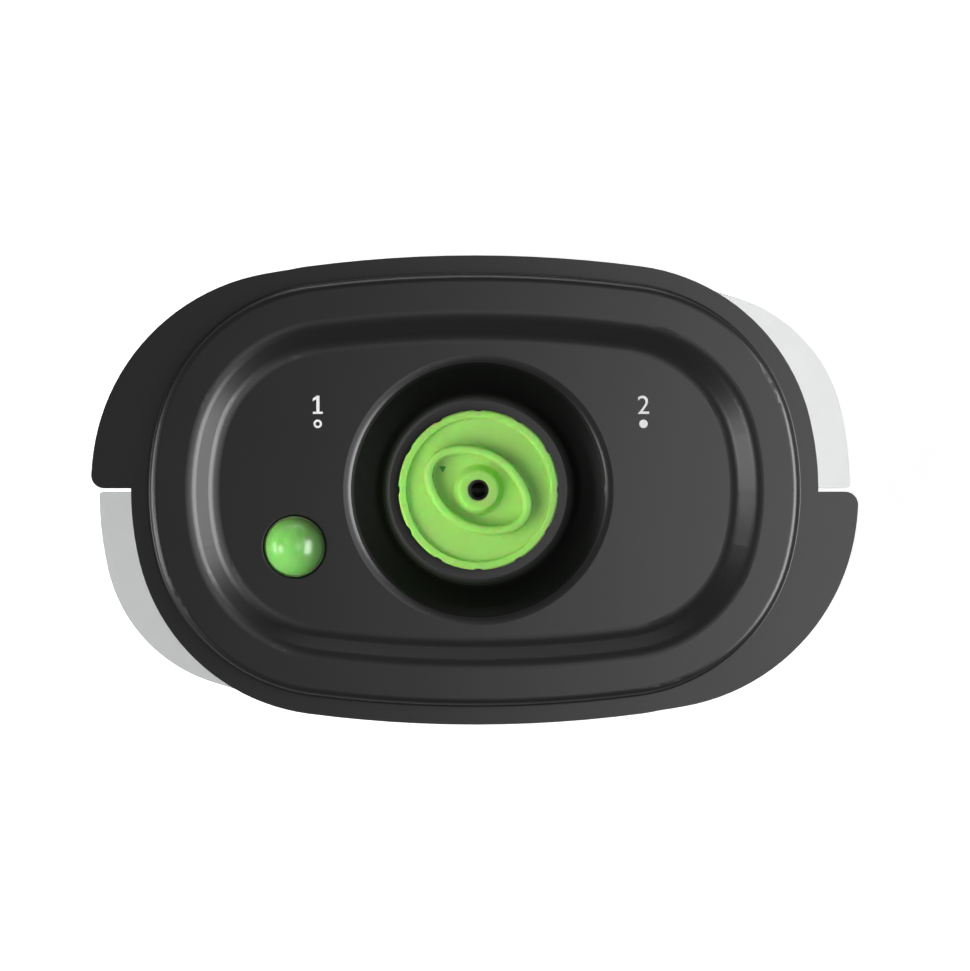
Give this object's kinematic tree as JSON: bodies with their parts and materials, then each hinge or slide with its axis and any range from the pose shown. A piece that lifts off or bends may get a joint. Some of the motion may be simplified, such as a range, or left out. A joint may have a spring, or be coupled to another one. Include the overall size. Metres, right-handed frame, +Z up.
{
  "type": "vacuum marinating canister",
  "caption": "Oval food canister: clear tray, black lid with a green two-position vacuum dial, hose port, pry tabs and a green dome that sinks under vacuum.",
  "frame": {"origin": "under the middle of the tray, on the surface it stands on", "axes": "+X along the tray, towards the right tabs; +Y across it, away from the user; +Z up, the dial's axis and the way the lid lifts off"},
  "size_m": [0.2898, 0.1774, 0.0948],
  "materials": {
    "tray_clear": "clear moulded",
    "lid_black": "satin, fine texture",
    "dial_green": "satin moulded",
    "dome_green": "polished",
    "silicone_grey": "matt",
    "silicone_black": "matt",
    "acetal_white": "satin",
    "spring_steel": "drawn wire",
    "guard_grey": "satin moulded"
  },
  "bodies": {
    "tray": {"tray": "tray_clear"},
    "lid": {"lid_shell": "lid_black", "lid_gasket": "silicone_grey", "splash_guard": "guard_grey", "indicator_cup": "guard_grey", "indicator_spring": "spring_steel"},
    "knob": {"knob": "dial_green", "port_seal": "silicone_black", "valve_disc": "silicone_grey", "stem_o_ring": "silicone_black", "thrust_washer": "acetal_white", "stem_spring": "spring_steel", "retaining_clip": "spring_steel", "check_valve": "silicone_grey", "valve_retainer": "acetal_white"},
    "indicator": {"indicator_button": "dome_green", "indicator_o_ring": "silicone_black"}
  },
  "joints": [
    {"name": "lid_lift", "type": "slide", "parent": "tray", "child": "lid", "axis": [0, 0, 1], "range_m": [0, 0.12]},
    {"name": "knob_turn", "type": "hinge", "parent": "lid", "child": "knob", "pos_m": [0.0014, 0, 0.0733], "axis": [0, 0, 1], "range_deg": [-127, 0]},
    {"name": "indicator_drop", "type": "slide", "parent": "lid", "child": "indicator", "axis": [0, 0, 1], "range_m": [-0.004, 0], "stiffness_N_per_m": 300, "springref_m": 0.003, "deforming": ["indicator_spring"]}
  ]
}
